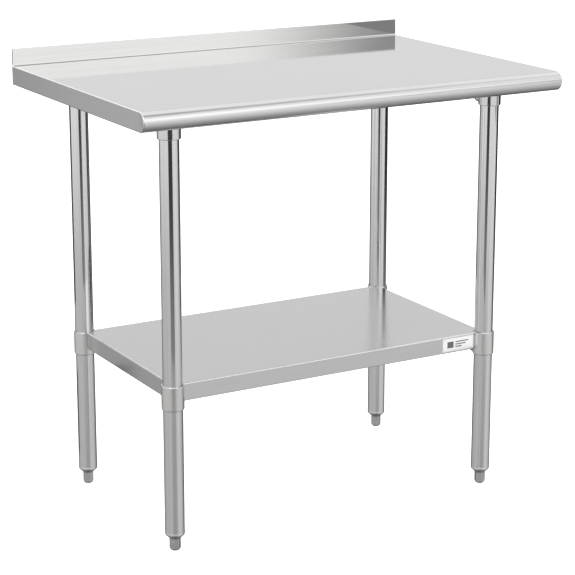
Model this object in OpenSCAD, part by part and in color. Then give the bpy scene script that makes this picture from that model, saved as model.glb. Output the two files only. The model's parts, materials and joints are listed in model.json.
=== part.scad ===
// Stainless work table with a rolled front edge, a rear upstand, an undershelf that slides on four
// round legs, and screw-adjusted levelling feet. Origin on the floor at the middle of the table,
// +X to the right along the front, +Y to the back, +Z up, millimetres.

/* [Worktop] */
// Width of the worktop, left to right
table_w = 914; // [700:1:1500]
// Depth of the worktop, front to back
table_d = 610; // [500:1:760]
// Height of the deck above the floor, with the feet screwed right in
deck_h = 876; // [820:1:950]
// Thickness of the worktop sheet
top_t = 1.2; // [0.8:0.1:2]
// Height of the side and rear flanges and of the front roll
apron_h = 38; // [32:1:50]
// Height of the rear upstand above the deck
upstand_h = 35; // [20:1:120]

/* [Legs] */
// Outer diameter of the leg tube
leg_d = 38.1; // [32:0.1:45]
// Wall thickness of the leg tube
leg_wall = 1.2; // [1:0.1:2]
// Distance from each end of the table to the leg axis
leg_end_inset = 100; // [90:1:150]
// Distance from the front edge to the front leg axis
leg_front_inset = 105; // [95:1:140]
// Distance from the rear face to the back leg axis
leg_back_inset = 97; // [85:1:140]

/* [Leg sockets] */
// Length of socket that shows below the flange
socket_show = 34; // [25:1:50]
// Outer diameter of the socket cup
socket_d = 45; // [44:0.1:52]
// Side of the square plate that joins the socket to its channel
socket_plate = 76; // [60:1:80]

/* [Undershelf] */
// Height of the undershelf surface above the floor
shelf_h = 331; // [250:1:500]
// Thickness of the undershelf sheet
shelf_t = 1; // [0.8:0.1:1.5]
// Height of the undershelf flanges
shelf_flange_h = 35; // [30:1:45]
// Outer diameter of the corner sleeves
sleeve_d = 43.6; // [42.5:0.1:50]
// Length of the corner sleeves
sleeve_len = 48; // [40:1:60]

/* [Channels] */
// Height of the hat channels under the worktop
hat_h = 25; // [15:1:28]
// Width of the crown of the cross channels that carry the sockets
hat_cross_w = 80; // [76:1:90]
// Width of the crown of the lengthwise channels
hat_long_w = 60; // [40:1:80]

/* [Levelling feet] */
// Height of the bottom of the leg tube above the floor
tube_foot_h = 37; // [35:1:45]
// Height at which the insert starts to taper
shoulder_h = 34; // [31:1:34]
// Height of the neck where the hexagon meets the insert
neck_h = 24; // [20:1:24]
// Hexagon of the foot across its flats
hex_af = 20; // [17:0.5:24]
// Thread diameter of the foot's stud
stud_d = 10; // [8:1:12]
// Length of stud above the hexagon
stud_len = 50; // [45:1:55]

/* [Hidden] */
CORNERS = ["fl", "fr", "bl", "br"];

$fn = 96;
// Overlap that lets a cutter pass right through
eps = 0.5;
// Width of the lips folded inwards under the flanges
lip_w = 12;
// Width of the brim of a hat channel
brim_w = 20;
// Hat channel thickness
hat_t = 1.2;
// Free space between the channels and the flanges they stop short of
channel_gap = 4;
// Radius of the shelf notch that meets the sleeve
sleeve_r = sleeve_d / 2;
leg_r = leg_d / 2;
// Sliding clearance of the sleeves and sockets on the legs
slide_gap = 0.35;
// Gap between the tip of a set screw and the leg
tip_gap = 0.3;
// Clearance between a screw and its threaded hole, where both are drawn plain
thread_gap = 0.05;
// Gap between faces that turn against each other
turn_gap = 0.3;
// Set screws: thread, hexagon key socket across its flats, and the boss they run in
screw_r = 4;
key_af = 4;
boss_r = 6.5;
boss_proud = 4;
screw_proud = 3;
key_deep = 4;
// Height of the set screw axis above the lower end of its sleeve or socket
sleeve_screw_h = 9;
socket_screw_h = 12;
socket_plate_t = 2;
// Worktop underside, and the lower face of the cross channels
deck_under = deck_h - top_t;
crown_z = deck_under - hat_h;
socket_bottom = deck_h - apron_h - socket_show;
leg_top = crown_z - socket_plate_t - 1;
sleeve_bottom = shelf_h + 1.5 - sleeve_len;
roll_r = apron_h / 2;
roll_y = -table_d / 2 + roll_r;
leg_x = table_w / 2 - leg_end_inset;
leg_front_y = -table_d / 2 + leg_front_inset;
leg_back_y = table_d / 2 - leg_back_inset;
shelf_mid_y = (leg_front_y + leg_back_y) / 2;
// The cross channels run from behind the roll to just short of the rear skin
cross_front_y = roll_y + channel_gap;
cross_back_y = table_d / 2 - 2 * top_t - channel_gap;
cross_len = cross_back_y - cross_front_y;
cross_mid_y = (cross_front_y + cross_back_y) / 2;
long_len = 2 * (leg_x - hat_cross_w / 2 - brim_w) - 2;
// Weld studs and nuts that hold the channels to the worktop
weld_stud_r = 3;
weld_stud_len = 12;
nut_af = 10;
nut_h = 5;
// Glide pad under the foot: disc, and the pin it turns on
glide_h = 1.8;
glide_r = 8.6;
glide_pin_r = 4;
glide_pin_h = 6;
// Insert: its top inside the tube, the radius of its neck, and the rounding of its shoulder
insert_top = tube_foot_h + 46;
neck_r = hex_af / 2 + 0.6;
shoulder_round = 5;
shoulder_turn = 48;
// Blank label on the front flange of the undershelf
label_w = 76;
label_h = 27;
label_t = 0.4;
label_gap = 3;

function side_x(c) = (c[1] == "l" ? -1 : 1) * leg_x;
function end_y(c) = c[0] == "f" ? leg_front_y : leg_back_y;
// Direction from a leg towards the middle of the table, at 45 degrees
function inward(c) = atan2(c[0] == "f" ? 1 : -1, c[1] == "l" ? 1 : -1);

// Puts a child at a leg's axis, with its local +X pointing inwards
module at_leg(c) translate([side_x(c), end_y(c), 0]) rotate([0, 0, inward(c)]) children();

// Extrudes a section drawn in Y (across) and Z (up) along X, centred
module along_x(length)
    translate([-length / 2, 0, 0]) rotate([90, 0, 90]) linear_extrude(length) children();

// Hat section: open side up at z = 0, crown hanging down to z = -h
module hat_section(crown, h) {
    half = crown / 2;
    polygon([
        [-half - brim_w, 0], [-half - brim_w, -hat_t], [-half, -hat_t], [-half, -h],
        [half, -h], [half, -hat_t], [half + brim_w, -hat_t], [half + brim_w, 0],
        [half - hat_t, 0], [half - hat_t, -h + hat_t], [-half + hat_t, -h + hat_t],
        [-half + hat_t, 0]
    ]);
}

// ---- worktop: one folded sheet

// Deck, upstand folded back on itself, rear flange and lip, and front roll with its return
module worktop_section() {
    rear = table_d / 2;
    deck_end = rear - 2 * top_t;
    translate([roll_y, deck_under]) square([deck_end - roll_y, top_t]);
    translate([deck_end, deck_under]) square([2 * top_t, upstand_h + top_t / 2]);
    translate([rear - top_t, deck_h + upstand_h - top_t]) circle(top_t);
    translate([rear - top_t, deck_h - apron_h]) square([top_t, apron_h]);
    translate([rear - lip_w, deck_h - apron_h]) square([lip_w, top_t]);
    difference() {
        translate([roll_y, deck_h - roll_r]) circle(roll_r);
        translate([roll_y, deck_h - roll_r]) circle(roll_r - top_t);
        translate([roll_y, deck_h - apron_h - eps]) square([roll_r + eps, apron_h + 2 * eps]);
    }
    translate([roll_y, deck_h - apron_h]) square([lip_w, top_t]);
}

// Side flange with the D-shaped front end that closes the roll
module side_plate_outline() {
    translate([roll_y, deck_h - roll_r]) circle(roll_r);
    translate([roll_y, deck_h - apron_h]) square([table_d / 2 - roll_y, apron_h]);
}

module worktop() color([0.80, 0.79, 0.78]) {
    along_x(table_w) worktop_section();
    for (side = [-1, 1]) {
        translate([side * (table_w / 2 - top_t / 2), 0, 0]) along_x(top_t) side_plate_outline();
        translate([side * (table_w / 2 - lip_w / 2), 0, 0]) along_x(lip_w)
            translate([roll_y, deck_h - apron_h]) square([table_d / 2 - roll_y, top_t]);
    }
}

// ---- stiffening channels, with the weld studs and nuts that hold them

// Places a child at each stud of one cross channel
module at_cross_studs(side)
    for (edge = [-1, 1], y = [-0.44, -0.12, 0.12, 0.44])
        translate([side * leg_x + edge * (hat_cross_w + brim_w) / 2, cross_mid_y + y * cross_len,
            deck_under])
            children();

module at_long_studs()
    for (edge = [-1, 1], x = [-0.42, 0, 0.42])
        translate([x * long_len, edge * (hat_long_w + brim_w) / 2, deck_under]) children();

module stud_hole() translate([0, 0, -hat_t - eps]) cylinder(h = hat_t + 2 * eps, r = weld_stud_r + 0.3);

module cross_channel(side) color([0.66, 0.67, 0.68]) difference() {
    translate([side * leg_x, cross_len / 2 + cross_mid_y, deck_under])
        rotate([90, 0, 0]) linear_extrude(cross_len) hat_section(hat_cross_w, hat_h);
    at_cross_studs(side) stud_hole();
}

module long_channel() color([0.66, 0.67, 0.68]) difference() {
    translate([0, 0, deck_under]) along_x(long_len) hat_section(hat_long_w, hat_h);
    at_long_studs() stud_hole();
}

module at_all_studs() {
    for (side = [-1, 1]) at_cross_studs(side) children();
    at_long_studs() children();
}

module channel_studs() color([0.7, 0.69, 0.66])
    at_all_studs() translate([0, 0, -weld_stud_len]) cylinder(h = weld_stud_len, r = weld_stud_r);

module channel_nuts() color([0.72, 0.71, 0.68])
    at_all_studs() translate([0, 0, -hat_t - nut_h]) difference() {
        cylinder(h = nut_h, d = nut_af / cos(30), $fn = 6);
        translate([0, 0, -eps]) cylinder(h = nut_h + 2 * eps, r = weld_stud_r + thread_gap);
    }

// ---- set screws and the bosses they run in

// Boss on a cup or sleeve whose outer radius is wall_r, at height z, pointing along local +X
module screw_boss(wall_r, z)
    translate([wall_r - 2, 0, z]) rotate([0, 90, 0]) cylinder(h = 2 + boss_proud, r = boss_r);

module screw_hole(wall_r, z)
    translate([leg_r - 2, 0, z]) rotate([0, 90, 0])
        cylinder(h = wall_r + boss_proud - leg_r + 2 + eps, r = screw_r + thread_gap);

// Socket-key grub screw whose tip stops just short of the leg
module set_screw(wall_r, z) {
    tip = leg_r + tip_gap;
    length = wall_r + boss_proud + screw_proud - tip;
    color([0.32, 0.32, 0.33]) translate([tip, 0, z]) rotate([0, 90, 0]) difference() {
        union() {
            cylinder(h = 1, r1 = screw_r - 1, r2 = screw_r);
            translate([0, 0, 1]) cylinder(h = length - 1, r = screw_r);
        }
        translate([0, 0, length - key_deep]) cylinder(h = key_deep + eps, d = key_af / cos(30), $fn = 6);
    }
}

// ---- legs and their sockets under the worktop

module leg_socket(c) color([0.74, 0.73, 0.72]) at_leg(c) difference() {
    union() {
        translate([0, 0, crown_z - socket_plate_t / 2]) rotate([0, 0, -inward(c)])
            cube([socket_plate, socket_plate, socket_plate_t], center = true);
        translate([0, 0, socket_bottom + 1.5])
            cylinder(h = crown_z - socket_bottom - 1.5 - socket_plate_t / 2, d = socket_d);
        translate([0, 0, socket_bottom]) cylinder(h = 1.5, d1 = socket_d - 3, d2 = socket_d);
        screw_boss(socket_d / 2, socket_bottom + socket_screw_h);
    }
    translate([0, 0, socket_bottom - eps])
        cylinder(h = leg_top - socket_bottom + eps, r = leg_r + slide_gap);
    screw_hole(socket_d / 2, socket_bottom + socket_screw_h);
}

module socket_screw(c) at_leg(c) set_screw(socket_d / 2, socket_bottom + socket_screw_h);

module leg(c) color([0.78, 0.78, 0.78]) at_leg(c) translate([0, 0, tube_foot_h]) difference() {
    cylinder(h = leg_top - tube_foot_h, r = leg_r);
    translate([0, 0, -eps]) cylinder(h = leg_top - tube_foot_h + 2 * eps, r = leg_r - leg_wall);
}

// ---- levelling feet

// Insert pressed into the tube, with the bullet-shaped shoulder that shows below it: a short
// band as wide as the tube, a rounded edge, and a cone down to the neck
module foot_insert(c) color([0.55, 0.55, 0.55]) at_leg(c) difference() {
    rotate_extrude() polygon(concat(
        [[0, insert_top], [0, neck_h], [neck_r, neck_h]],
        [for (a = [shoulder_turn:-shoulder_turn / 6:0])
            [leg_r - shoulder_round * (1 - cos(a)), shoulder_h - shoulder_round * sin(a)]],
        [[leg_r, tube_foot_h], [leg_r - leg_wall, tube_foot_h],
            [leg_r - leg_wall, insert_top - 2], [leg_r - leg_wall - 1, insert_top]]
    ));
    translate([0, 0, neck_h - eps])
        cylinder(h = insert_top - neck_h + 2 * eps, d = stud_d + 2 * thread_gap);
}

// Hexagon foot with its threaded stud, drilled below for the glide pad's pin
module levelling_foot(c) color([0.50, 0.50, 0.50]) at_leg(c) difference() {
    union() {
        translate([0, 0, glide_h + turn_gap]) intersection() {
            cylinder(h = neck_h - glide_h - 2 * turn_gap, d = hex_af / cos(30), $fn = 6);
            cylinder(h = hex_af, r1 = hex_af / 2 - 0.6, r2 = hex_af * 1.5);
        }
        translate([0, 0, neck_h / 2]) cylinder(h = neck_h / 2 + stud_len, d = stud_d);
    }
    translate([0, 0, glide_h]) cylinder(h = glide_pin_h + turn_gap, r = glide_pin_r + thread_gap);
}

module glide_pad(c) color([0.15, 0.15, 0.16]) at_leg(c) {
    cylinder(h = glide_h, r = glide_r);
    cylinder(h = glide_h + glide_pin_h, r = glide_pin_r);
}

// ---- undershelf: folded pan, its channel, corner sleeves and label

module undershelf() color([0.77, 0.77, 0.77]) difference() {
    shelf_w = 2 * leg_x;
    shelf_d = leg_back_y - leg_front_y;
    translate([-leg_x, leg_front_y, shelf_h - shelf_flange_h]) difference() {
        cube([shelf_w, shelf_d, shelf_flange_h]);
        translate([shelf_t, shelf_t, shelf_t])
            cube([shelf_w - 2 * shelf_t, shelf_d - 2 * shelf_t, shelf_flange_h - 2 * shelf_t]);
        translate([lip_w, lip_w, -eps])
            cube([shelf_w - 2 * lip_w, shelf_d - 2 * lip_w, shelf_t + 2 * eps]);
    }
    for (c = CORNERS) at_leg(c) translate([0, 0, shelf_h - shelf_flange_h - eps]) {
        cylinder(h = shelf_flange_h + 2 * eps, r = sleeve_r);
        translate([0, -boss_r - 1, -eps])
            cube([sleeve_r + boss_proud + screw_proud + 6, 2 * boss_r + 2, boss_r + 4]);
    }
}

module shelf_channel() color([0.66, 0.67, 0.68])
    translate([0, shelf_mid_y, shelf_h - shelf_t])
        along_x(2 * (leg_x - shelf_t - channel_gap - lip_w)) hat_section(hat_long_w, hat_h);

module shelf_sleeve(c) color([0.76, 0.75, 0.73]) at_leg(c) difference() {
    union() {
        translate([0, 0, sleeve_bottom]) cylinder(h = 1.5, r1 = sleeve_r - 1.2, r2 = sleeve_r);
        translate([0, 0, sleeve_bottom + 1.5]) cylinder(h = sleeve_len - 1.5, r = sleeve_r);
        screw_boss(sleeve_r, sleeve_bottom + sleeve_screw_h);
    }
    translate([0, 0, sleeve_bottom - eps]) cylinder(h = sleeve_len + 2 * eps, r = leg_r + slide_gap);
    screw_hole(sleeve_r, sleeve_bottom + sleeve_screw_h);
}

module sleeve_screw(c) at_leg(c) set_screw(sleeve_r, sleeve_bottom + sleeve_screw_h);

module shelf_label() color([0.9, 0.9, 0.88])
    translate([leg_x - sleeve_r - label_gap - label_w, leg_front_y - label_t,
        shelf_h - shelf_flange_h / 2 - label_h / 2]) cube([label_w, label_t, label_h]);

worktop();
cross_channel(-1);  // cross_channel_left
cross_channel(1);  // cross_channel_right
long_channel();
channel_studs();
channel_nuts();
undershelf();
shelf_channel();
shelf_label();
for (c = CORNERS) {
    leg_socket(c);
    socket_screw(c);
    leg(c);
    foot_insert(c);
    levelling_foot(c);
    glide_pad(c);
    shelf_sleeve(c);
    sleeve_screw(c);
}
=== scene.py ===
"""Looks of the stainless work table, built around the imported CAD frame. Metres, +Z up.

Sizes of the table are in millimetres, and each mesh is scaled to metres as it is made. The camera,
the cards and the lights are in metres.
"""
import json
import math

import bmesh
import bpy
from mathutils import Matrix, Vector


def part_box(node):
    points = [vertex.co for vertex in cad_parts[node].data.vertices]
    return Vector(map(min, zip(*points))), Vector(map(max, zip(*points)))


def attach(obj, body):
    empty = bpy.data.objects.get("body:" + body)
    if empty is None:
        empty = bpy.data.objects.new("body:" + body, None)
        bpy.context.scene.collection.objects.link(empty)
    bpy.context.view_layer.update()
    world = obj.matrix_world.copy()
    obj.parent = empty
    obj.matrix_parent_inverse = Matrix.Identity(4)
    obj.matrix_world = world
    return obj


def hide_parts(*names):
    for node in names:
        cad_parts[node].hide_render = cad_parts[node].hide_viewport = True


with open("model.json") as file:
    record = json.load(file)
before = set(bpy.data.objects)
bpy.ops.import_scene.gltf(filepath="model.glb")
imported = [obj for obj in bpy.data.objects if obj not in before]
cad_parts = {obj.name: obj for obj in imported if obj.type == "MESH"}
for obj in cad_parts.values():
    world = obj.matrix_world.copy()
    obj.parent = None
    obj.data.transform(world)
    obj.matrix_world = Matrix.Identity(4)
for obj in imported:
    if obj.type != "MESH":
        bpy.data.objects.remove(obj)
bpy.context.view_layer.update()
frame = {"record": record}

MM = 0.001
CORNERS = ("fl", "fr", "bl", "br")
record = frame["record"]
BODY_OF = {node: body for body, nodes in record["behaviour"]["bodies"].items() for node in nodes}


# ---------------------------------------------------------------- sizes, read from the frame

def box_mm(node):
    """Lowest and highest corner of a node, in millimetres."""
    low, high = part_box(node)
    return [round(v / MM, 2) for v in low], [round(v / MM, 2) for v in high]


def radius_mm(node):
    """Radius of an upright round node, across X."""
    low, high = box_mm(node)
    return (high[0] - low[0]) / 2


def levels_mm(node):
    """Lowest and highest Z of a node."""
    low, high = box_mm(node)
    return low[2], high[2]


TOP_LOW, TOP_HIGH = box_mm("worktop")
HALF_W = TOP_HIGH[0]
FRONT_Y, REAR_Y = TOP_LOW[1], TOP_HIGH[1]
APRON_Z, UPSTAND_Z = TOP_LOW[2], TOP_HIGH[2]
UPSTAND_H = 35.0
DECK_Z = UPSTAND_Z - UPSTAND_H
TOP_T = 1.2
# The front edge is rolled round an axis along X
ROLL_R = (DECK_Z - APRON_Z) / 2
ROLL_Y, ROLL_Z = FRONT_Y + ROLL_R, DECK_Z - ROLL_R
# Width of the lips folded in under the worktop and the undershelf
LIP = 12.0

SHELF_LOW, SHELF_HIGH = box_mm("undershelf")
SHELF_T = 1.0

LEG_AXIS = {}
for corner in CORNERS:
    low, high = box_mm("leg_" + corner)
    LEG_AXIS[corner] = ((low[0] + high[0]) / 2, (low[1] + high[1]) / 2)
LEG_R = radius_mm("leg_fl")
LEG_LOW, LEG_TOP = levels_mm("leg_fl")
LEG_WALL = 1.2
# Bore of the sockets and sleeves that the legs stand in
BORE_R = LEG_R + 0.35
SLEEVE_LOW, SLEEVE_TOP = levels_mm("shelf_sleeve_fl")
SLEEVE_R = 21.8
SOCKET_LOW, SOCKET_TOP = levels_mm("leg_socket_fl")
SOCKET_R = 22.5
PLATE_T, PLATE_HALF = 2.0, radius_mm("leg_socket_fl")
# Bosses of the set screws, and how far bosses and screws stand out
BOSS_R, BOSS_PROUD = 6.5, 4.0
SCREW_R, SCREW_PROUD = 4.0, 3.0
SCREW_PITCH = 1.25


def inward(corner):
    """Direction, in degrees, from a leg diagonally towards the middle of the table."""
    return math.degrees(math.atan2(1 if corner[0] == "f" else -1, 1 if corner[1] == "l" else -1))


# ---------------------------------------------------------------- mesh helpers

def arc(cy, cz, radius, start, end, steps):
    """Points on an arc about (cy, cz), from one angle in degrees to another."""
    turns = [math.radians(start + (end - start) * i / steps) for i in range(steps + 1)]
    return [(cy + radius * math.cos(a), cz + radius * math.sin(a)) for a in turns]


def rounded(points, radii, steps=6):
    """A polyline whose inner corners are rounded, one radius for each inner corner."""
    path = [tuple(points[0])]
    for i, radius in enumerate(radii, start=1):
        here = Vector(points[i])
        d_in = (here - Vector(points[i - 1])).normalized()
        d_out = (Vector(points[i + 1]) - here).normalized()
        turn = d_in.angle(d_out)
        side = 1 if d_in.x * d_out.y - d_in.y * d_out.x > 0 else -1
        normal = Vector((-d_in.y, d_in.x)) * side
        hub = here - d_in * radius * math.tan(turn / 2) + normal * radius
        first = math.atan2(-normal.y, -normal.x)
        for k in range(steps + 1):
            angle = first + side * turn * k / steps
            path.append((hub.x + radius * math.cos(angle), hub.y + radius * math.sin(angle)))
    path.append(tuple(points[-1]))
    return path


def strip(bm, rows):
    """A sheet of quads through rows of 3-D points."""
    grid = [[bm.verts.new(p) for p in row] for row in rows]
    for a, b in zip(grid, grid[1:]):
        for i in range(len(a) - 1):
            bm.faces.new((a[i], a[i + 1], b[i + 1], b[i]))
    return grid


def lathe(bm, rings, segments=96, closed=False, caps=(False, False), about=(0.0, 0.0)):
    """A skin through rings about a vertical axis. Each ring is (radius, z), and the radius may be a
    function of the angle. A closed profile joins its last ring to its first."""
    rows = []
    for radius, z in rings:
        row = []
        for i in range(segments):
            a = 2 * math.pi * i / segments
            r = radius(a) if callable(radius) else radius
            row.append(bm.verts.new((about[0] + r * math.cos(a), about[1] + r * math.sin(a), z)))
        rows.append(row)
    for a, b in zip(rows, rows[1:] + (rows[:1] if closed else [])):
        for i in range(segments):
            j = (i + 1) % segments
            bm.faces.new((a[i], a[j], b[j], b[i]))
    if caps[0]:
        bm.faces.new(rows[0])
    if caps[1]:
        bm.faces.new(rows[-1])
    return rows


def bead(bm, points, radius, closed=False, sides=8, ripple=0.12, pitch=3):
    """A weld bead along a line of points, with the ripple of its puddles; open ends taper."""
    points = [Vector(p) for p in points]
    count = len(points)
    rows = []
    for i, here in enumerate(points):
        ahead = points[(i + 1) % count] if closed else points[min(i + 1, count - 1)]
        behind = points[i - 1] if closed else points[max(i - 1, 0)]
        along = (ahead - behind).normalized()
        across = along.cross(Vector((0, 0, 1)))
        if across.length < 0.1:
            across = along.cross(Vector((1, 0.3, 0)))
        across.normalize()
        up = across.cross(along)
        taper = 1.0 if closed else min(1.0, 0.35 + 0.65 * min(i, count - 1 - i) / 3)
        size = radius * taper * (1 + ripple * math.cos(2 * math.pi * i / pitch))
        rows.append([bm.verts.new(here + size * (math.cos(a) * across + math.sin(a) * up))
                     for a in (2 * math.pi * k / sides for k in range(sides))])
    for a, b in zip(rows, rows[1:] + (rows[:1] if closed else [])):
        for i in range(sides):
            j = (i + 1) % sides
            bm.faces.new((a[i], a[j], b[j], b[i]))
    if not closed:
        bm.faces.new(rows[0])
        bm.faces.new(rows[-1])


def prism(bm, outline, z0, z1, ease):
    """An upright prism on a 2-D outline, with eased upper and lower edges."""
    middle = Vector((sum(p[0] for p in outline) / len(outline), sum(p[1] for p in outline) / len(outline)))
    span = max((Vector(p) - middle).length for p in outline)
    levels = [(1 - ease / span, z0), (1 - 0.3 * ease / span, z0 + 0.3 * ease), (1.0, z0 + ease),
              (1.0, z1 - ease), (1 - 0.3 * ease / span, z1 - 0.3 * ease), (1 - ease / span, z1)]
    rows = [[bm.verts.new((middle.x + (x - middle.x) * k, middle.y + (y - middle.y) * k, z))
             for x, y in outline] for k, z in levels]
    for a, b in zip(rows, rows[1:]):
        for i in range(len(a)):
            j = (i + 1) % len(a)
            bm.faces.new((a[i], a[j], b[j], b[i]))
    bm.faces.new(rows[0])
    bm.faces.new(rows[-1])


def rounded_rectangle(half_x, half_y, radius, steps=6):
    """Outline of a rectangle with round corners, centred on the origin."""
    outline = []
    for sx, sy, start in ((1, 1, 0), (-1, 1, 90), (-1, -1, 180), (1, -1, 270)):
        outline += arc(sx * (half_x - radius), sy * (half_y - radius), radius, start, start + 90, steps)
    return outline


def stand_out(bm, height):
    """Turns a shape made along +Z to lie along +X, at a height."""
    bmesh.ops.rotate(bm, verts=bm.verts, matrix=Matrix.Rotation(math.radians(90), 3, "Y"))
    bmesh.ops.translate(bm, verts=bm.verts, vec=(0, 0, height))


def finish_mesh(bm, name, up=None, sharp=40):
    """Closes a bmesh into a smooth-shaded mesh in metres. Where up is given, it names a direction
    that the largest face has to look in, because an open sheet has no inside."""
    bmesh.ops.remove_doubles(bm, verts=bm.verts, dist=0.0005)
    bmesh.ops.recalc_face_normals(bm, faces=bm.faces)
    if up is not None:
        bm.normal_update()
        largest = max(bm.faces, key=lambda face: face.calc_area())
        if largest.normal.dot(Vector(up)) < 0:
            bmesh.ops.reverse_faces(bm, faces=bm.faces)
    bmesh.ops.scale(bm, vec=(MM, MM, MM), verts=bm.verts)
    mesh = bpy.data.meshes.new(name)
    bm.to_mesh(mesh)
    bm.free()
    mesh.shade_smooth()
    mesh.set_sharp_from_angle(angle=math.radians(sharp))
    return mesh


def add_object(name, data):
    """Links a new object with this mesh, light or camera into the scene."""
    obj = bpy.data.objects.new(name, data)
    bpy.context.scene.collection.objects.link(obj)
    return obj


def weigh_normals(obj):
    """Makes large flats shade flat, so that only the bends beside them look round."""
    weighted = obj.modifiers.new("flat_faces", "WEIGHTED_NORMAL")
    weighted.keep_sharp = True
    weighted.weight = 100
    return obj


def give_thickness(obj, thickness):
    """Turns a folded skin into sheet metal, on its inner side."""
    sheet = obj.modifiers.new("sheet", "SOLIDIFY")
    sheet.thickness = (thickness - 0.05) * MM
    sheet.offset = -1
    sheet.use_even_offset = True
    return weigh_normals(obj)


def combine(mesh, tools):
    """Boolean work on a closed mesh: tools is a list of (operation, mesh). Returns a new mesh."""
    base = add_object("boolean_base", mesh)
    helpers = []
    for operation, tool_mesh in tools:
        helper = add_object("boolean_tool", tool_mesh)
        cut = base.modifiers.new("cut", "BOOLEAN")
        cut.operation, cut.solver, cut.object = operation, "EXACT", helper
        helpers.append(helper)
    bpy.context.view_layer.update()
    evaluated = base.evaluated_get(bpy.context.evaluated_depsgraph_get())
    result = bpy.data.meshes.new_from_object(evaluated)
    for obj in helpers + [base]:
        bpy.data.objects.remove(obj)
    return result


def piece(obj, node, material):
    """Lets an object stand for one CAD node, on that node's body and material slot."""
    obj.data.materials.clear()
    obj.data.materials.append(material)
    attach(obj, BODY_OF[node])
    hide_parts(node)
    return obj


def at_corners(mesh, prefix, piece_name, material, weighted=True, corners=CORNERS):
    """Copies a mesh, made about the origin with +X inwards, to the leg at each corner."""
    for corner in corners:
        x, y = LEG_AXIS[corner]
        copy = mesh.copy()
        copy.name = piece_name + corner
        copy.transform(Matrix.Translation((x * MM, y * MM, 0))
                       @ Matrix.Rotation(math.radians(inward(corner)), 4, "Z"))
        obj = add_object(piece_name + corner, copy)
        if weighted:
            weigh_normals(obj)
        piece(obj, prefix + corner, material)


# ---------------------------------------------------------------- materials

class Graph:
    """A short way to write a node tree."""

    def __init__(self, owner):
        owner.use_nodes = True
        self.tree = owner.node_tree
        self.tree.nodes.clear()

    def put(self, socket, value):
        """Gives a socket a link or a plain value."""
        if isinstance(value, bpy.types.NodeSocket):
            self.tree.links.new(value, socket)
        else:
            socket.default_value = value

    def add(self, kind, inputs=None, **properties):
        node = self.tree.nodes.new(kind)
        for key, value in properties.items():
            setattr(node, key, value)
        for key, value in (inputs or {}).items():
            self.put(node.inputs[key], value)
        return node

    def math(self, operation, a, b=0.0, clamp=False):
        return self.add("ShaderNodeMath", {0: a, 1: b}, operation=operation, use_clamp=clamp).outputs[0]

    def remap(self, value, low, high, to_low, to_high, smooth=False):
        kind = "SMOOTHSTEP" if smooth else "LINEAR"
        return self.add("ShaderNodeMapRange", {0: value, 1: low, 2: high, 3: to_low, 4: to_high},
                        interpolation_type=kind).outputs[0]

    def noise(self, stretch, detail=4.0, roughness=0.55, shift=(0.0, 0.0, 0.0)):
        place = self.add("ShaderNodeTexCoord").outputs["Object"]
        mapped = self.add("ShaderNodeMapping", {"Vector": place, "Scale": stretch, "Location": shift})
        return self.add("ShaderNodeTexNoise", {"Vector": mapped.outputs[0], "Scale": 1.0, "Detail": detail,
                                               "Roughness": roughness}).outputs["Fac"]

    def axes(self):
        """X, Y and Z of a point on the object, in metres."""
        place = self.add("ShaderNodeTexCoord").outputs["Object"]
        return self.add("ShaderNodeSeparateXYZ", {0: place}).outputs

    def blend(self, factor, a, b):
        return self.add("ShaderNodeMix", {0: factor, 6: a, 7: b}, data_type="RGBA").outputs[2]

    def principled(self, colour, roughness, height, distance, strength, metallic):
        bump = self.add("ShaderNodeBump", {"Strength": strength, "Distance": distance, "Height": height})
        shader = self.add("ShaderNodeBsdfPrincipled", {"Base Color": colour, "Roughness": roughness,
                                                       "Metallic": metallic, "Normal": bump.outputs[0]})
        self.finish("ShaderNodeOutputMaterial", shader)
        return shader

    def finish(self, kind, shader):
        """Joins a shader to the output of a material or a world."""
        self.tree.links.new(shader.outputs[0], self.add(kind).inputs[0])


def tone(grey, tint):
    """Colour of one grey with a slight tint."""
    return tuple(min(1.0, grey * t) for t in tint) + (1.0,)


def fold_highlight_mask(g, half_x, top, span_y=None):
    """Mask for a painted highlight: 1 on the bends round the rim of a deck, and 0 away from them.
    Lengths are in millimetres; span_y is the front and rear of the deck, given where these are bent too."""
    axes = g.axes()
    inset = g.math("SUBTRACT", half_x * MM, g.math("ABSOLUTE", axes[0]))
    if span_y:
        middle, half_y = (span_y[0] + span_y[1]) / 2 * MM, (span_y[1] - span_y[0]) / 2 * MM
        off = g.math("ABSOLUTE", g.math("SUBTRACT", axes[1], middle))
        inset = g.math("MINIMUM", inset, g.math("SUBTRACT", half_y, off))
    drop = g.math("ABSOLUTE", g.math("SUBTRACT", top * MM, axes[2]))
    # The line fades out between the two distances from each edge
    return g.math("MULTIPLY", g.remap(inset, 3.2 * MM, 1.8 * MM, 0.0, 1.0),
                  g.remap(drop, 2.8 * MM, 1.6 * MM, 0.0, 1.0))


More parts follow.
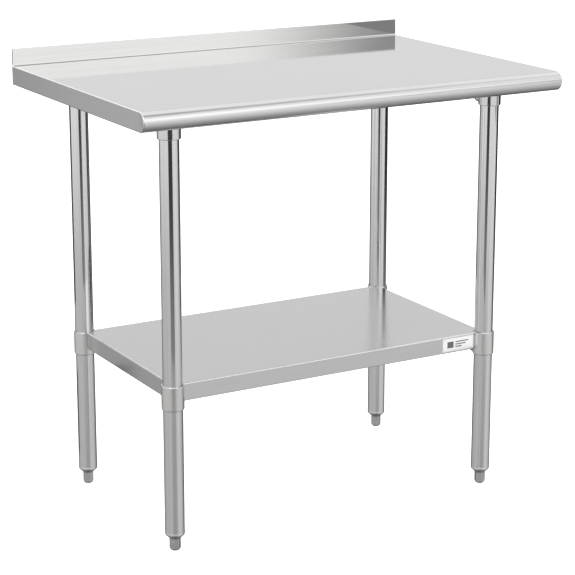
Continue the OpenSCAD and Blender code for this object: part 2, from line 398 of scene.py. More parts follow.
def brushed_steel(name, grey, rough, grain, tint=(1.0, 0.995, 0.99), lines=0.10, streaks=0.05, smudge=0.03,
                  wave=0.0, zone=("Z", 0.0, 1.0, 0.0, 0.0), fold=None):
    """Stainless sheet or tube. Fine hairlines run along one axis, with longer faint streaks, soft
    smudges from handling in the gloss, and a slow waviness of the surface. Zone is an axis, the places
    along it in metres where a change starts and is reached, how much rougher it gets, and how much
    lighter its colour is painted there: painted light, and painted shade where the amount is below zero.
    Fold names the deck whose bends get a painted highlight."""
    material = bpy.data.materials.new(name)
    g = Graph(material)

    def along(fine, slow):
        return tuple(slow if axis == grain else fine for axis in "XYZ")

    axis, start, end, rougher, painted_light = zone
    there = g.remap(g.axes()["XYZ".index(axis)], start, end, 0.0, 1.0, smooth=True)
    hair = g.noise(along(1100.0, 6.0), 3.0, 0.65)
    streak = g.noise(along(160.0, 1.2), 3.0, 0.6, (3.1, 1.7, 0.4))
    smear = g.noise((6.0, 6.0, 6.0), 6.0, 0.6, (0.3, 5.2, 2.2))
    slow = g.noise(along(14.0, 1.6), 1.0, 0.4, (7.3, 0.8, 4.4))
    shade = g.math("ADD", g.remap(hair, 0.3, 0.7, -lines, lines),
                   g.remap(streak, 0.3, 0.7, -streaks, streaks))
    shade = g.math("ADD", shade, g.remap(smear, 0.3, 0.7, -lines / 3, lines / 3))
    # Painted light or shade: within the zone the colour is painted lighter, or darker for a negative
    # amount.
    shade = g.math("ADD", shade, g.math("MULTIPLY", there, painted_light))
    colour = g.blend(g.math("ADD", 0.5, shade, True), tone(grey * 0.80, tint), tone(grey * 1.20, tint))
    gloss = g.math("ADD", g.remap(smear, 0.35, 0.7, rough - smudge / 2, rough + smudge),
                   g.remap(hair, 0.3, 0.7, -smudge / 3, smudge / 3))
    gloss = g.math("ADD", gloss, g.math("MULTIPLY", there, rougher))
    # Painted highlight along the bends: their colour is blended towards a pale tone, and they are made
    # rougher.
    if fold:
        painted_highlight = fold_highlight_mask(g, *fold)
        colour = g.blend(painted_highlight, colour, tone(0.97, tint))
        gloss = g.math("ADD", gloss, g.math("MULTIPLY", painted_highlight, 0.22))
    height = g.math("ADD", g.math("MULTIPLY", hair, 0.02), g.math("MULTIPLY", slow, wave))
    g.principled(colour, gloss, height, 0.001, 0.5, 1.0)
    return material


def galvanised(name):
    """Zinc-coated sheet with its crystal spangle."""
    material = bpy.data.materials.new(name)
    g = Graph(material)
    place = g.add("ShaderNodeTexCoord").outputs["Object"]
    cells = g.add("ShaderNodeTexVoronoi", {"Vector": place, "Scale": 120.0})
    spangle = g.add("ShaderNodeSeparateColor", {"Color": cells.outputs["Color"]}).outputs[0]
    cloud = g.noise((9.0, 9.0, 9.0), 5.0)
    colour = g.blend(g.math("ADD", g.math("MULTIPLY", spangle, 0.6), g.math("MULTIPLY", cloud, 0.4)),
                     (0.40, 0.41, 0.43, 1.0), (0.70, 0.71, 0.72, 1.0))
    g.principled(colour, g.remap(spangle, 0.0, 1.0, 0.30, 0.48), spangle, 0.0001, 0.2, 1.0)
    return material


def textured(name, dark, light, rough, metallic, pits=1500.0, depth=0.00005, scale=60.0):
    """Cast, plated or moulded surface: two close tones, fine pits and an uneven gloss."""
    material = bpy.data.materials.new(name)
    g = Graph(material)
    cloud = g.noise((scale, scale, scale), 5.0, 0.6)
    pitting = g.noise((pits, pits, pits), 2.0, 0.6)
    colour = g.blend(g.remap(cloud, 0.3, 0.7, 0.0, 1.0), dark, light)
    gloss = g.remap(cloud, 0.3, 0.7, rough - 0.06, rough + 0.08)
    g.principled(colour, gloss, pitting, depth, 0.4, metallic)
    return material


def label_film(name):
    """Pale film printed with nothing but a thin frame, a plain block and three bars."""
    material = bpy.data.materials.new(name)
    g = Graph(material)
    low, high = box_mm("shelf_label")
    axes = g.axes()
    across, up = (g.math("SUBTRACT", g.math("DIVIDE", axes[k], MM), (low[k] + high[k]) / 2) for k in (0, 2))
    half_w, half_h = (high[0] - low[0]) / 2, (high[2] - low[2]) / 2

    def band(value, middle, half):
        off = g.math("ABSOLUTE", g.math("SUBTRACT", value, middle))
        return g.remap(off, half + 0.1, half - 0.1, 0.0, 1.0)

    margin = g.math("MINIMUM", g.math("SUBTRACT", half_w, g.math("ABSOLUTE", across)),
                    g.math("SUBTRACT", half_h, g.math("ABSOLUTE", up)))
    frame_ink = band(margin, 2.0, 0.3)
    ink = g.math("MULTIPLY", band(across, -0.50 * half_w, 0.20 * half_w), band(up, 0.0, 0.50 * half_h))
    for row, length in ((1, 0.84), (0, 0.66), (-1, 0.40)):
        middle, half = (length / 2 - 0.18) * half_w, length / 2 * half_w
        bar = g.math("MULTIPLY", band(across, middle, half), band(up, row * half_h * 0.38, 1.2))
        ink = g.math("MAXIMUM", ink, bar)
    cloud = g.noise((60.0, 60.0, 60.0), 5.0, 0.6)
    film = g.blend(cloud, (0.80, 0.80, 0.79, 1.0), (0.87, 0.87, 0.86, 1.0))
    colour = g.blend(frame_ink, film, (0.55, 0.55, 0.56, 1.0))
    colour = g.blend(ink, colour, (0.13, 0.13, 0.135, 1.0))
    gloss = g.remap(cloud, 0.3, 0.7, 0.30, 0.42)
    g.principled(colour, gloss, g.noise((400.0, 400.0, 400.0), 2.0), 0.00003, 0.4, 0.0)
    return material


# The worktop's deck gets a painted highlight along the bends at its ends; its zone only makes the lower
# part of the roll rougher.
TOP_STEEL = brushed_steel("worktop_steel", 0.78, 0.045, "X", fold=(HALF_W, DECK_Z),
                          zone=("Y", (ROLL_Y + 1) * MM, (ROLL_Y - 7) * MM, 0.17, 0.0))
# The shelf's deck gets a painted highlight along the bends all round it.
SHELF_STEEL = brushed_steel("shelf_steel", 0.665, 0.18, "X", tint=(0.995, 0.995, 1.0), lines=0.07,
                            streaks=0.02,
                            fold=(SHELF_HIGH[0], SHELF_HIGH[2], (SHELF_LOW[1], SHELF_HIGH[1])))
# Below the shelf the legs, and the inserts in their ends, are rougher, and their colour is painted darker
# as painted shade.
LEG_STEEL = brushed_steel("leg_steel", 0.78, 0.08, "Z", tint=(0.995, 0.998, 1.0), lines=0.08, streaks=0.16,
                          wave=0.05, zone=("Z", 0.42, 0.24, 0.10, -0.16))
SOCKET_STEEL = brushed_steel("socket_steel", 0.76, 0.12, "Z", tint=(0.99, 0.995, 1.0), lines=0.08)
# The rim at the top of each sleeve is glossier, and its colour is painted pale as a painted highlight.
SLEEVE_STEEL = brushed_steel("sleeve_steel", 0.76, 0.32, "Z", tint=(1.0, 0.990, 0.978), lines=0.14,
                             zone=("Z", (SLEEVE_TOP - 2.0) * MM, (SLEEVE_TOP - 1.3) * MM, -0.12, 0.60))
CHANNEL_STEEL = galvanised("channel_steel")
PLATED = textured("fastener_steel", (0.50, 0.50, 0.49, 1.0), (0.66, 0.66, 0.64, 1.0), 0.28, 1.0)
SCREW_STEEL = textured("screw_steel", (0.030, 0.030, 0.032, 1.0), (0.075, 0.075, 0.08, 1.0), 0.40, 0.7)
FOOT_METAL = textured("foot_metal", (0.42, 0.415, 0.41, 1.0), (0.56, 0.555, 0.55, 1.0), 0.33, 0.9)
NYLON = textured("glide_nylon", (0.12, 0.12, 0.122, 1.0), (0.17, 0.17, 0.172, 1.0), 0.55, 0.0)
LABEL = label_film("label_film")


# ---------------------------------------------------------------- worktop

# Outer radius of the bends, and inner radius of the bend at the foot of the upstand
BEND = 2.0
FOOT_R = 2.5
ROLL_STEPS = 48
# Front face of the upstand, which is folded double, and the gap between side and rear flanges
DECK_END = REAR_Y - 2 * TOP_T
SEAM = 0.2


def worktop_side(bm, side):
    """Rounded edge that follows the deck, the roll and the lower edge, the flat face inside it with
    its D-shaped front, and the lower lip."""
    inner = HALF_W - BEND
    rear = REAR_Y - TOP_T - SEAM
    lip_from, lip_to = ROLL_Y + LIP + 0.5, REAR_Y - LIP - 0.5
    edge = [(DECK_END - FOOT_R, DECK_Z, 0, 1)]
    edge += [(y, z, (y - ROLL_Y) / ROLL_R, (z - ROLL_Z) / ROLL_R)
             for y, z in arc(ROLL_Y, ROLL_Z, ROLL_R, 90, 270, ROLL_STEPS)]
    edge += [(y, APRON_Z, 0, -1) for y in (lip_from, lip_to, rear)]
    rows = []
    for k in range(7):
        t = math.radians(15 * k)
        inset = BEND * (1 - math.cos(t))
        rows.append([(side * (inner + BEND * math.sin(t)), y - ny * inset, z - nz * inset)
                     for y, z, ny, nz in edge])
    grid = strip(bm, rows)
    corner = bm.verts.new((side * HALF_W, rear, DECK_Z - BEND))
    bm.faces.new(grid[-1] + [corner])
    strip(bm, [[(side * x, y, APRON_Z) for y in (lip_from, lip_to)] for x in (inner, HALF_W - LIP)])


def worktop_mesh():
    """Outer skin of the folded sheet: roll, deck, upstand, rear flange and lips, and the two sides."""
    bm = bmesh.new()
    inner = HALF_W - BEND
    roll = arc(ROLL_Y, ROLL_Z, ROLL_R, 270, 90, ROLL_STEPS)
    front = [(side * (inner - 0.6), ROLL_Y + LIP, APRON_Z) for side in (-1, 1)]
    rows = [front] + [[(side * inner, y, z) for side in (-1, 1)] for y, z in roll]
    strip(bm, rows + [[(side * inner, DECK_END - FOOT_R, DECK_Z) for side in (-1, 1)]])
    back = arc(DECK_END - FOOT_R, DECK_Z + FOOT_R, FOOT_R, 270, 360, 8)
    back += arc(REAR_Y - TOP_T, UPSTAND_Z - TOP_T, TOP_T, 180, 0, 10)
    back += arc(REAR_Y - BEND, APRON_Z + BEND, BEND, 0, -90, 6)
    strip(bm, [[(x, y, z) for x in (-HALF_W, -inner, inner, HALF_W)] for y, z in back])
    strip(bm, [[(side * x, y, APRON_Z) for side in (-1, 1)]
               for x, y in ((inner, REAR_Y - BEND), (inner - LIP, REAR_Y - LIP))])
    for side in (-1, 1):
        worktop_side(bm, side)
    return finish_mesh(bm, "worktop_sheet", up=(0, 0, 1))


piece(give_thickness(add_object("worktop_sheet", worktop_mesh()), TOP_T), "worktop", TOP_STEEL)


# ---------------------------------------------------------------- channels, weld studs and nuts

# Width of a channel's crown, and the radius of its bends
CROSS_CROWN, LONG_CROWN = 80, 60
BRIM_BEND, CROWN_BEND = 1.0, 2.6


def hat_channel(name, node, crown, along):
    """Hat channel bent from sheet, hanging under the sheet it stiffens."""
    low, high = box_mm(node)
    axis = "XY".index(along)
    mid = (low[1 - axis] + high[1 - axis]) / 2
    half, brim, top, bottom = crown / 2, (high[1 - axis] - low[1 - axis]) / 2, high[2] - TOP_T, low[2]
    profile = [(-brim, top), (-half, top), (-half, bottom), (half, bottom), (half, top), (brim, top)]
    section = rounded(profile, [BRIM_BEND, CROWN_BEND, CROWN_BEND, BRIM_BEND])
    ends = (low[axis], high[axis])
    rows = [[(e, mid + w, z) if along == "X" else (mid + w, e, z) for w, z in section] for e in ends]
    bm = bmesh.new()
    strip(bm, rows)
    obj = add_object(name, finish_mesh(bm, name, up=(0, 0, -1)))
    return piece(give_thickness(obj, TOP_T), node, CHANNEL_STEEL)


hat_channel("cross_rail_left", "cross_channel_left", CROSS_CROWN, "Y")
hat_channel("cross_rail_right", "cross_channel_right", CROSS_CROWN, "Y")
hat_channel("long_rail", "long_channel", LONG_CROWN, "X")
hat_channel("shelf_rail", "shelf_channel", LONG_CROWN, "X")


def thread(major, minor, pitch, z0, z1, steps=8):
    """Rings of a screw thread between two heights. Its ends fade into the core."""
    count = round((z1 - z0) / pitch * steps)

    def ring(k):
        z = z0 + (z1 - z0) * k / count
        fade = max(0.0, min(1.0, (z - z0) / pitch, (z1 - z) / pitch))

        def radius(angle):
            phase = (z / pitch - angle / (2 * math.pi)) % 1
            flank = min(1.0, max(0.0, 2.4 * abs(2 * phase - 1) - 0.7))
            return minor + (major - minor) * flank * fade

        return radius, z

    return [ring(k) for k in range(count + 1)]


def hexagon(flat, corner_round=0.5):
    """Radius of a hexagon with rounded corners, by angle from one of its corners. flat is the
    distance from its centre to a flat."""
    rim = flat / math.cos(math.pi / 6) - corner_round

    def radius(angle):
        off = angle % (math.pi / 3) - math.pi / 6
        edge = flat / math.cos(off)
        return edge if edge < rim - corner_round else min(edge, rim + (edge - rim) * 0.35)

    return radius


def within(shape, limit):
    """A radius function kept inside a circle, as where a cone cuts a hexagon's corners."""
    return lambda angle: min(shape(angle), limit)


# Studs stand in the brims of the rails, this far in from their edges
STUD_INSET = 10
WELD_STUD_R, WELD_STUD_CORE = 3.0, 2.5


def stud_places():
    """Middle of each weld stud on the cross rails and the lengthwise rail."""
    places = []
    for node in ("cross_channel_left", "cross_channel_right"):
        low, high = box_mm(node)
        middle, length = (low[1] + high[1]) / 2, high[1] - low[1]
        places += [(x, middle + k * length) for x in (low[0] + STUD_INSET, high[0] - STUD_INSET)
                   for k in (-0.44, -0.12, 0.12, 0.44)]
    low, high = box_mm("long_channel")
    places += [(k * (high[0] - low[0]), y) for y in (low[1] + STUD_INSET, high[1] - STUD_INSET)
               for k in (-0.42, 0, 0.42)]
    return places


def stud_mesh():
    """All the weld studs, threaded below the root that is welded to the deck."""
    low, high = box_mm("channel_studs")
    z0, z1 = low[2], high[2]
    bm = bmesh.new()
    for place in stud_places():
        rings = [(2.2, z0)] + thread(WELD_STUD_R, WELD_STUD_CORE, 1.0, z0 + 0.3, z1 - 2, 6)
        rings += [(WELD_STUD_R, z1 - 1.8), (WELD_STUD_R, z1)]
        lathe(bm, rings, 24, caps=(True, True), about=place)
    return finish_mesh(bm, "rail_studs")


def nut_mesh():
    """All the nuts: hexagons with cut corners and a bored middle."""
    low, high = box_mm("channel_nuts")
    hexa = hexagon(5.0, 0.2)
    z0, z1 = low[2], high[2]
    bm = bmesh.new()
    for place in stud_places():
        rings = [(3.3, z0), (within(hexa, 5.0), z0), (within(hexa, 5.45), z0 + 0.5), (hexa, z0 + 0.9),
                 (hexa, z1 - 0.2), (within(hexa, 5.5), z1), (3.3, z1), (3.06, z1 - 0.4), (3.06, z0 + 0.4)]
        lathe(bm, rings, 36, closed=True, about=place)
    return finish_mesh(bm, "rail_nuts", sharp=25)


piece(add_object("rail_studs", stud_mesh()), "channel_studs", PLATED)
piece(add_object("rail_nuts", nut_mesh()), "channel_nuts", PLATED)


# ---------------------------------------------------------------- undershelf

# Notches round the sleeves, the room that the lips leave for the bosses, and the radius of the folds
NOTCH_R = SLEEVE_R + 0.5
BOSS_ROOM = 11.5
SHELF_BEND = 1.8


def notch_reach(depth):
    """How far from the leg axis a fold ends, for a point this far in from the outer face: it follows
    the round sleeve, and its lip also stays clear of the boss of the set screw."""
    return max(math.sqrt(NOTCH_R ** 2 - depth ** 2), depth + BOSS_ROOM)


def undershelf_mesh():
    """Folded pan: deck notched round the sleeves, four flanges, and the lips under them."""
    half_x, y0, y1 = SHELF_HIGH[0], SHELF_LOW[1], SHELF_HIGH[1]
    z0, z1 = SHELF_LOW[2], SHELF_HIGH[2]
    half_y, mid_y = (y1 - y0) / 2, (y0 + y1) / 2
    fold = rounded([(SHELF_BEND, z1), (0, z1), (0, z0), (LIP, z0)], [SHELF_BEND, SHELF_BEND], 6)[1:]
    bm = bmesh.new()
    for side in (-1, 1):
        strip(bm, [[(side * (half_x - d), mid_y + end * (half_y - notch_reach(d)), z) for end in (-1, 1)]
                   for d, z in fold])
        strip(bm, [[(end * (half_x - notch_reach(d)), mid_y + side * (half_y - d), z) for end in (-1, 1)]
                   for d, z in fold])
    rim = []
    skip = math.degrees(math.asin(SHELF_BEND / NOTCH_R))
    for sx, sy, start in ((1, 1, 270), (-1, 1, 360), (-1, -1, 90), (1, -1, 180)):
        rim += arc(sx * half_x, mid_y + sy * half_y, NOTCH_R, start - skip, start - 90 + skip, 14)
    bm.faces.new([bm.verts.new((x, y, z1)) for x, y in rim])
    return finish_mesh(bm, "undershelf_pan", up=(0, 0, 1))


def shelf_welds(bm):
    """Upright beads that join the flanges to the sleeves, two at each corner."""
    z0, z1 = SHELF_LOW[2] + 4, SHELF_HIGH[2] - 4
    for corner in CORNERS:
        x, y = LEG_AXIS[corner]
        sx, sy = (-1 if x > 0 else 1), (-1 if corner[0] == "b" else 1)
        for dx, dy in ((0, sy * (SLEEVE_R + 0.3)), (sx * (SLEEVE_R + 0.3), 0)):
            bead(bm, [(x + dx, y + dy, z0 + (z1 - z0) * k / 18) for k in range(19)], 1.1)


undershelf = give_thickness(add_object("undershelf_pan", undershelf_mesh()), SHELF_T)
piece(undershelf, "undershelf", SHELF_STEEL)

bm = bmesh.new()
shelf_welds(bm)
welds = add_object("shelf_weld_beads", finish_mesh(bm, "shelf_weld_beads"))
welds.data.materials.append(SLEEVE_STEEL)
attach(welds, BODY_OF["undershelf"])


# ---------------------------------------------------------------- label

def label_mesh():
    """Thin film with round corners, upright against the front flange."""
    low, high = box_mm("shelf_label")
    outline = rounded_rectangle((high[0] - low[0]) / 2, (high[2] - low[2]) / 2, 1.5)
    bm = bmesh.new()
    prism(bm, outline, 0, high[1] - low[1], 0.12)
    bmesh.ops.rotate(bm, verts=bm.verts, matrix=Matrix.Rotation(math.radians(90), 3, "X"))
    bmesh.ops.translate(bm, verts=bm.verts, vec=((low[0] + high[0]) / 2, high[1], (low[2] + high[2]) / 2))
    return finish_mesh(bm, "blank_label")


piece(add_object("blank_label", label_mesh()), "shelf_label", LABEL)


# ---------------------------------------------------------------- legs

def leg_mesh():
    """Tube with eased ends, its wall closed inside and out."""
    bm = bmesh.new()
    inside, ease = LEG_R - LEG_WALL, 0.3
    low, high = LEG_LOW + 0.05, LEG_TOP
    levels = [low + ease + (high - low - 2 * ease) * k / 24 for k in range(25)]
    rings = [(LEG_R - ease, low)] + [(LEG_R, z) for z in levels]
    rings += [(LEG_R - ease, high), (inside + ease, high), (inside, high - ease), (inside, low + ease),
              (inside + ease, low)]
    lathe(bm, rings, 128, closed=True)
    return finish_mesh(bm, "leg_tube")


at_corners(leg_mesh(), "leg_", "leg_tube_", LEG_STEEL)


# ---------------------------------------------------------------- sockets, sleeves and set screws

def boss_mesh(wall_r, z):
    """Round boss along local +X, for one set screw."""
    bm = bmesh.new()
    x1 = wall_r + BOSS_PROUD
    lathe(bm, [(BOSS_R, wall_r - 1.6), (BOSS_R, x1 - 0.7), (BOSS_R - 0.2, x1 - 0.2), (BOSS_R - 0.7, x1)],
          48, caps=(True, True))
    stand_out(bm, z)
    return finish_mesh(bm, "boss")


def screw_hole_mesh(wall_r, z):
    """Cutter for the screw's hole in a boss, with its countersink."""
    bm = bmesh.new()
    x1 = wall_r + BOSS_PROUD
    lathe(bm, [(SCREW_R + 0.05, LEG_R - 2), (SCREW_R + 0.05, x1 - 0.4), (SCREW_R + 0.6, x1 + 0.15),
               (SCREW_R + 0.6, x1 + 2)], 40, caps=(True, True))
    stand_out(bm, z)
    return finish_mesh(bm, "screw_hole")


def boss_bead(bm, wall_r, z):
    """Weld round the root of a boss, lying on the round wall."""
    ring_r, count = BOSS_R + 0.35, 42
    points = []
    for k in range(count):
        a = 2 * math.pi * k / count
        y = ring_r * math.cos(a)
        points.append((math.sqrt(wall_r ** 2 - y ** 2) + 0.1, y, z + ring_r * math.sin(a)))
    bead(bm, points, 0.75, closed=True)


def with_boss(bm, name, wall_r, z):
    """Adds the boss and its hole to a lathed wall, then the weld round it."""
    tools = [("UNION", boss_mesh(wall_r, z)), ("DIFFERENCE", screw_hole_mesh(wall_r, z))]
    mesh = combine(finish_mesh(bm, name), tools)
    joined = bmesh.new()
    joined.from_mesh(mesh)
    bmesh.ops.scale(joined, vec=(1 / MM,) * 3, verts=joined.verts)
    boss_bead(joined, wall_r, z)
    return joined


SOCKET_SCREW_Z = SOCKET_LOW + 12.0
SLEEVE_SCREW_Z = SLEEVE_LOW + 9.0
RIM_ROUND = 1.5
SLEEVE_GAP = 1.0


def socket_mesh():
    """Cup with its boss, and the plate that the cup is welded to."""
    bm = bmesh.new()
    low, plate_z = SOCKET_LOW, SOCKET_TOP - PLATE_T
    rings = [(BORE_R, LEG_TOP), (BORE_R, low + 0.5), (BORE_R + 0.4, low)]
    rings += arc(SOCKET_R - RIM_ROUND, low + RIM_ROUND, RIM_ROUND, -90, 0, 6)
    rings += [(SOCKET_R, plate_z + 0.6)]
    lathe(bm, rings, 96, caps=(True, True))
    bm = with_boss(bm, "socket_cup", SOCKET_R, SOCKET_SCREW_Z)
    turned = math.pi / 4
    outline = [(x * math.cos(turned) - y * math.sin(turned), x * math.sin(turned) + y * math.cos(turned))
               for x, y in rounded_rectangle(PLATE_HALF, PLATE_HALF, 5)]
    prism(bm, outline, plate_z, SOCKET_TOP, 0.3)
    ring_r, count = SOCKET_R + 0.6, 96
    weld = [(ring_r * math.cos(a), ring_r * math.sin(a), plate_z - 0.3)
            for a in (2 * math.pi * k / count for k in range(count))]
    bead(bm, weld, 1.5, closed=True, pitch=4)
    return finish_mesh(bm, "leg_cup")


def sleeve_mesh(gap_at):
    """Corner sleeve with a rolled upper rim, a chamfered lower end, and its boss. The bore stands off
    the leg, by up to SLEEVE_GAP, on the side that faces the other pair of legs, which is at this
    angle from local +X. The gap shows as a dark crescent under the rim."""
    bm = bmesh.new()
    low, top = SLEEVE_LOW, SLEEVE_TOP

    def bore(more):
        return lambda angle: BORE_R + more + SLEEVE_GAP * max(0.0, math.cos(angle - math.radians(gap_at)))

    rings = [(bore(0), low + 0.5), (bore(0.2), low), (SLEEVE_R - 0.95, low), (SLEEVE_R - 0.75, low + 0.12),
             (SLEEVE_R - 0.15, low + 1.4), (SLEEVE_R, low + 1.9), (SLEEVE_R, top - 0.9)]
    rings += arc(SLEEVE_R - 0.9, top - 0.9, 0.9, 15, 90, 5)
    rings += [(bore(0.3), top), (bore(0.1), top - 0.1), (bore(0), top - 0.6)]
    lathe(bm, rings, 96, closed=True)
    return finish_mesh(with_boss(bm, "sleeve", SLEEVE_R, SLEEVE_SCREW_Z), "corner_sleeve")


def screw_mesh(wall_r, z):
    """Threaded set screw along local +X, with a hexagon key socket in its outer end."""
    tip, core = LEG_R + 0.3, SCREW_R - 0.55
    end = wall_r + BOSS_PROUD + SCREW_PROUD
    key = hexagon(2.0, 0.05)
    bm = bmesh.new()
    rings = [(SCREW_R - 1.2, tip), (core, tip + 0.7)]
    rings += thread(SCREW_R, core, SCREW_PITCH, tip + 0.75, end - 0.5)
    rings += [(SCREW_R - 0.7, end), (2.75, end), (within(hexagon(2.25, 0.05), 2.6), end - 0.2),
              (key, end - 0.5), (key, end - 3.8), (1.0, end - 4.4)]
    lathe(bm, rings, 48, caps=(True, True))
    stand_out(bm, z)
    return finish_mesh(bm, "set_screw", sharp=30)


at_corners(socket_mesh(), "leg_socket_", "leg_cup_", SOCKET_STEEL)
for gap_at, pair in ((-45, ("fl", "br")), (45, ("fr", "bl"))):
    at_corners(sleeve_mesh(gap_at), "shelf_sleeve_", "corner_sleeve_", SLEEVE_STEEL, corners=pair)
at_corners(screw_mesh(SOCKET_R, SOCKET_SCREW_Z), "socket_screw_", "cup_screw_", SCREW_STEEL, False)
at_corners(screw_mesh(SLEEVE_R, SLEEVE_SCREW_Z), "sleeve_screw_", "shelf_screw_", SCREW_STEEL, False)


# ---------------------------------------------------------------- feet

INSERT_LOW, INSERT_TOP = levels_mm("foot_insert_fl")
FOOT_LOW, FOOT_TOP = levels_mm("levelling_foot_fl")
HEX_FLAT = 10.0
NECK_R = HEX_FLAT + 0.6
STUD_R, STUD_CORE, STUD_PITCH = 5.0, 4.25, 1.5
THREAD_ROOM = 0.05
# Pin of the glide pad, which turns in the foot
PIN_R = 4.0


def insert_mesh():
    """Insert in the end of the tube: a band, a rounded shoulder, and a cone down to its neck."""
    shoulder_z, band_top, shoulder_r = LEG_LOW - 3.0, LEG_LOW, 5.0
    inside, bore = LEG_R - LEG_WALL - 0.02, STUD_R + THREAD_ROOM
    bm = bmesh.new()
    rings = [(bore, INSERT_LOW + 0.4), (bore + 0.4, INSERT_LOW), (NECK_R - 0.5, INSERT_LOW),
             (NECK_R - 0.1, INSERT_LOW + 0.15)]
    rings += arc(LEG_R - shoulder_r, shoulder_z, shoulder_r, -48, 0, 8)
    rings += [(LEG_R, band_top - 0.45), (LEG_R - 0.35, band_top), (inside, band_top)]
    rings += [(inside, INSERT_TOP - 2), (inside - 1, INSERT_TOP), (bore + 0.4, INSERT_TOP),
              (bore, INSERT_TOP - 0.4)]
    lathe(bm, rings, 96, closed=True)
    return finish_mesh(bm, "bullet_insert")


def foot_mesh():
    """Hexagon with cut corners, the threaded stud above it, and the hole for the glide pad's pin."""
    hexa = hexagon(HEX_FLAT, 0.45)
    low, high = FOOT_LOW, INSERT_LOW - 0.3
    bm = bmesh.new()
    rings = [(PIN_R + 0.05, low + 6.0), (PIN_R + 0.05, low + 0.3), (PIN_R + 0.35, low)]
    rings += [(within(hexa, r), low + rise)
              for r, rise in ((9.5, 0.0), (10.1, 0.5), (10.7, 1.4), (11.25, 2.2))]
    rings += [(hexa, low + 3.0), (hexa, high - 1.3)]
    rings += [(within(hexa, r), high - drop) for r, drop in ((11.1, 0.8), (10.5, 0.2), (9.8, 0.0))]
    rings += [(STUD_R, high)]
    rings += thread(STUD_R, STUD_CORE, STUD_PITCH, high + 0.3, FOOT_TOP - 0.6)
    rings += [(STUD_R - 1.2, FOOT_TOP)]
    lathe(bm, rings, 72, caps=(True, True))
    return finish_mesh(bm, "hex_foot", sharp=28)


def glide_mesh():
    """Nylon pad with a rounded edge, a ring groove on its face, and the pin it turns on."""
    low, high = levels_mm("glide_pad_fl")
    pad_r, pad_h = radius_mm("glide_pad_fl"), 1.8
    bm = bmesh.new()
    rings = [(5.6, low), (5.8, low + 0.4), (6.4, low + 0.4), (6.6, low), (pad_r - 0.7, low),
             (pad_r - 0.2, low + 0.2), (pad_r, low + 0.7), (pad_r, pad_h - 0.3), (pad_r - 0.3, pad_h),
             (PIN_R, pad_h), (PIN_R, high - 0.5), (PIN_R - 0.5, high)]
    lathe(bm, rings, 64, caps=(True, True))
    return finish_mesh(bm, "glide_disc")


at_corners(insert_mesh(), "foot_insert_", "bullet_insert_", LEG_STEEL)
at_corners(foot_mesh(), "levelling_foot_", "hex_foot_", FOOT_METAL, False)
at_corners(glide_mesh(), "glide_pad_", "glide_disc_", NYLON, False)


# ---------------------------------------------------------------- camera

# From the front left and above. Yaw is in degrees from +Y towards +X, and pitch is downwards.
CAMERA_AT = (-1.8756, -3.2937, 1.4780)
CAMERA_YAW, CAMERA_PITCH = 29.74, 14.32
LENS_MM, SENSOR_MM, LENS_SHIFT = 120.26, 36.0, -0.0704

camera_data = bpy.data.cameras.new("camera")
camera_data.lens, camera_data.sensor_width, camera_data.shift_y = LENS_MM, SENSOR_MM, LENS_SHIFT
camera = add_object("camera", camera_data)
camera.location = CAMERA_AT
camera.rotation_euler = (math.radians(90 - CAMERA_PITCH), 0, -math.radians(CAMERA_YAW))
bpy.context.scene.camera = camera
bpy.context.scene.view_settings.view_transform = "Standard"


# ---------------------------------------------------------------- studio

def floor_material():
    """Pale matt floor with a faint mottle."""
    material = bpy.data.materials.new("studio_floor")
    g = Graph(material)
    mottle = g.noise((3.0, 3.0, 3.0), 5.0)
    colour = g.blend(mottle, (0.92, 0.92, 0.92, 1.0), (0.95, 0.95, 0.95, 1.0))
    shader = g.principled(colour, 0.9, mottle, 0.0005, 0.1, 0.0)
    shader.inputs["Emission Color"].default_value = (1.0, 1.0, 1.0, 1.0)
    shader.inputs["Emission Strength"].default_value = 0.60
    return material


def card_material(name, foot, head):
    """Glow of an upright card: one radiance at the floor, and another from half a metre up."""
    material = bpy.data.materials.new(name)
    g = Graph(material)
    light = g.remap(g.axes()[2], 0.0, 0.5, foot, head, smooth=True)
    glow = g.add("ShaderNodeEmission", {"Color": (1.0, 1.0, 1.0, 1.0), "Strength": light})
    g.finish("ShaderNodeOutputMaterial", glow)
    return material


def card(name, middle, half_width, heading, low, high, foot, head):
    """Dark upright card beside the table, seen only in its reflections. Heading is the direction it
    faces, in degrees from +Y towards +X; lengths are in metres."""
    turn = math.radians(heading)
    side = Vector((math.cos(turn), -math.sin(turn), 0)) * half_width
    bm = bmesh.new()
    corners = [Vector((*middle, z)) + k * side for z, k in ((low, -1), (low, 1), (high, 1), (high, -1))]
    bm.faces.new([bm.verts.new(p / MM) for p in corners])
    obj = add_object(name, finish_mesh(bm, name))
    obj.data.materials.append(card_material(name, foot, head))
    obj.visible_camera = obj.visible_diffuse = obj.visible_shadow = False


def pale_stage(name, mesh, material):
    """Floor or backdrop that only the camera sees, so that the light comes from the soft boxes."""
    obj = add_object(name, mesh)
    obj.data.materials.append(material)
    obj.visible_glossy = obj.visible_diffuse = obj.visible_shadow = False


# The floor lies just under the feet at the end of their travel, so that it never hides them. It
# reaches past the round backdrop.
FLOOR_Z = -27
FLOOR_HALF = 40000
BACKDROP_R, BACKDROP_H = 30000, 30000

PALE = floor_material()
bm = bmesh.new()
bmesh.ops.create_grid(bm, x_segments=4, y_segments=4, size=FLOOR_HALF)
bmesh.ops.translate(bm, verts=bm.verts, vec=(0, 0, FLOOR_Z))
pale_stage("studio_floor", finish_mesh(bm, "studio_floor", up=(0, 0, 1)), PALE)
bm = bmesh.new()
lathe(bm, [(BACKDROP_R, FLOOR_Z), (BACKDROP_R, BACKDROP_H)], 64)
pale_stage("studio_backdrop", finish_mesh(bm, "studio_backdrop"), PALE)

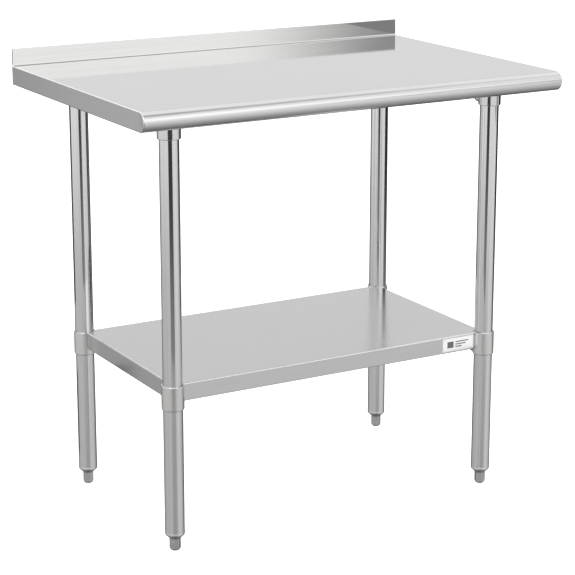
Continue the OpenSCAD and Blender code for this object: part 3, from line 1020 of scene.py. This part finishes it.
# Name, middle, half width, heading, lowest and highest point, radiance at the floor and higher up
card("front_card", (-0.66, -1.34), 0.475, 15, 0.0, 0.78, 0.24, 0.045)
card("right_card", (1.10, -0.02), 0.42, 270, 0.05, 0.80, 0.20, 0.03)
card("right_front_card", (1.10, -0.85), 0.22, 270, 0.60, 0.82, 0.26, 0.26)
card("left_rear_card", (-0.469, 0.36), 0.057, 180, 0.34, 0.80, 0.06, 0.06)
card("left_rear_low_card", (-0.469, 0.36), 0.057, 180, 0.0, 0.19, 0.12, 0.12)

SOFTBOX_AT, SOFTBOX_AIM = (1.2, -2.4, 1.9), Vector((0, 0, 0.4))
softbox_data = bpy.data.lights.new("softbox", "AREA")
softbox_data.shape, softbox_data.size, softbox_data.energy = "SQUARE", 2.0, 36.0
softbox = add_object("softbox", softbox_data)
softbox.location = SOFTBOX_AT
softbox.rotation_euler = (SOFTBOX_AIM - softbox.location).to_track_quat("-Z", "Y").to_euler()
softbox.visible_camera = softbox.visible_glossy = False

# Soft boxes and dark flags round the table, in the order they are laid over each other: direction
# (degrees from +Y towards +X, and elevation), half width and height, softness of the edges across
# and upwards, radiance
PANELS = [
    ("left wall", 268, -6, 54, 34, 10, 10, 0.88),
    ("left wall low", 268, -42.5, 54, 30, 10, 8, 0.54),
    ("left return", 331, -10, 13, 26, 8, 8, 0.47),
    ("right wall", 152, -8, 66, 22, 10, 10, 0.84),
    ("right wall low", 131, -43.5, 44, 30, 11, 11, 0.68),
    ("front low", 197, -45, 24, 30, 11, 11, 0.38),
    ("right fade", 62, -26, 33, 24, 66, 12, 0.22),
    ("rear low flag", 30, -24, 50, 23, 10, 10, 0.12),
    ("key", 166, 19, 24, 15, 12, 12, 1.35),
    ("high flag", 135, 62, 25, 12, 12, 12, 0.38),
    ("top", 210, 50, 35, 22, 12, 12, 2.0),
    ("edge strip", 345, 27, 12, 9, 8, 8, 1.4),
    ("key spill", 166, 8, 17, 4, 4, 4, 1.14),
    ("right gap", 133, 8, 16.5, 4, 5, 4, 0.36),
]


def studio_world():
    """Light from all round: paler above the horizon, then the panels, and darker towards the floor."""
    world = bpy.data.worlds.new("studio")
    g = Graph(world)
    ray = g.add("ShaderNodeTexCoord").outputs["Generated"]
    height = g.add("ShaderNodeSeparateXYZ", {0: ray}).outputs[2]
    degrees = 180 / math.pi
    elevation = g.math("MULTIPLY", g.math("ARCSINE", height), degrees)
    light = g.remap(elevation, -4, 3, 0.44, 0.79, smooth=True)
    light = g.math("ADD", light, g.remap(elevation, 28, 44, 0.0, 0.20, smooth=True))
    for _, azimuth, rise, half_w, half_h, soft_w, soft_h, radiance in PANELS:
        turned = g.add("ShaderNodeVectorRotate", {"Vector": ray, "Angle": math.radians(azimuth)},
                       rotation_type="Z_AXIS").outputs[0]
        parts = g.add("ShaderNodeSeparateXYZ", {0: turned}).outputs
        across = g.math("ABSOLUTE", g.math("MULTIPLY", g.math("ARCTAN2", parts[0], parts[1]), degrees))
        above = g.math("ABSOLUTE", g.math("SUBTRACT", elevation, float(rise)))
        mask = g.math("MULTIPLY",
                      g.remap(across, half_w + soft_w / 2, half_w - soft_w / 2, 0.0, 1.0, smooth=True),
                      g.remap(above, half_h + soft_h / 2, half_h - soft_h / 2, 0.0, 1.0, smooth=True))
        light = g.add("ShaderNodeMix", {0: mask, 2: light, 3: radiance}).outputs[0]
    light = g.math("MULTIPLY", light, g.remap(elevation, -22, -70, 1.0, 0.25))
    sky = g.add("ShaderNodeBackground", {"Color": (1.0, 1.0, 1.0, 1.0), "Strength": light})
    g.finish("ShaderNodeOutputWorld", sky)
    return world


bpy.context.scene.world = studio_world()

bpy.context.view_layer.update()
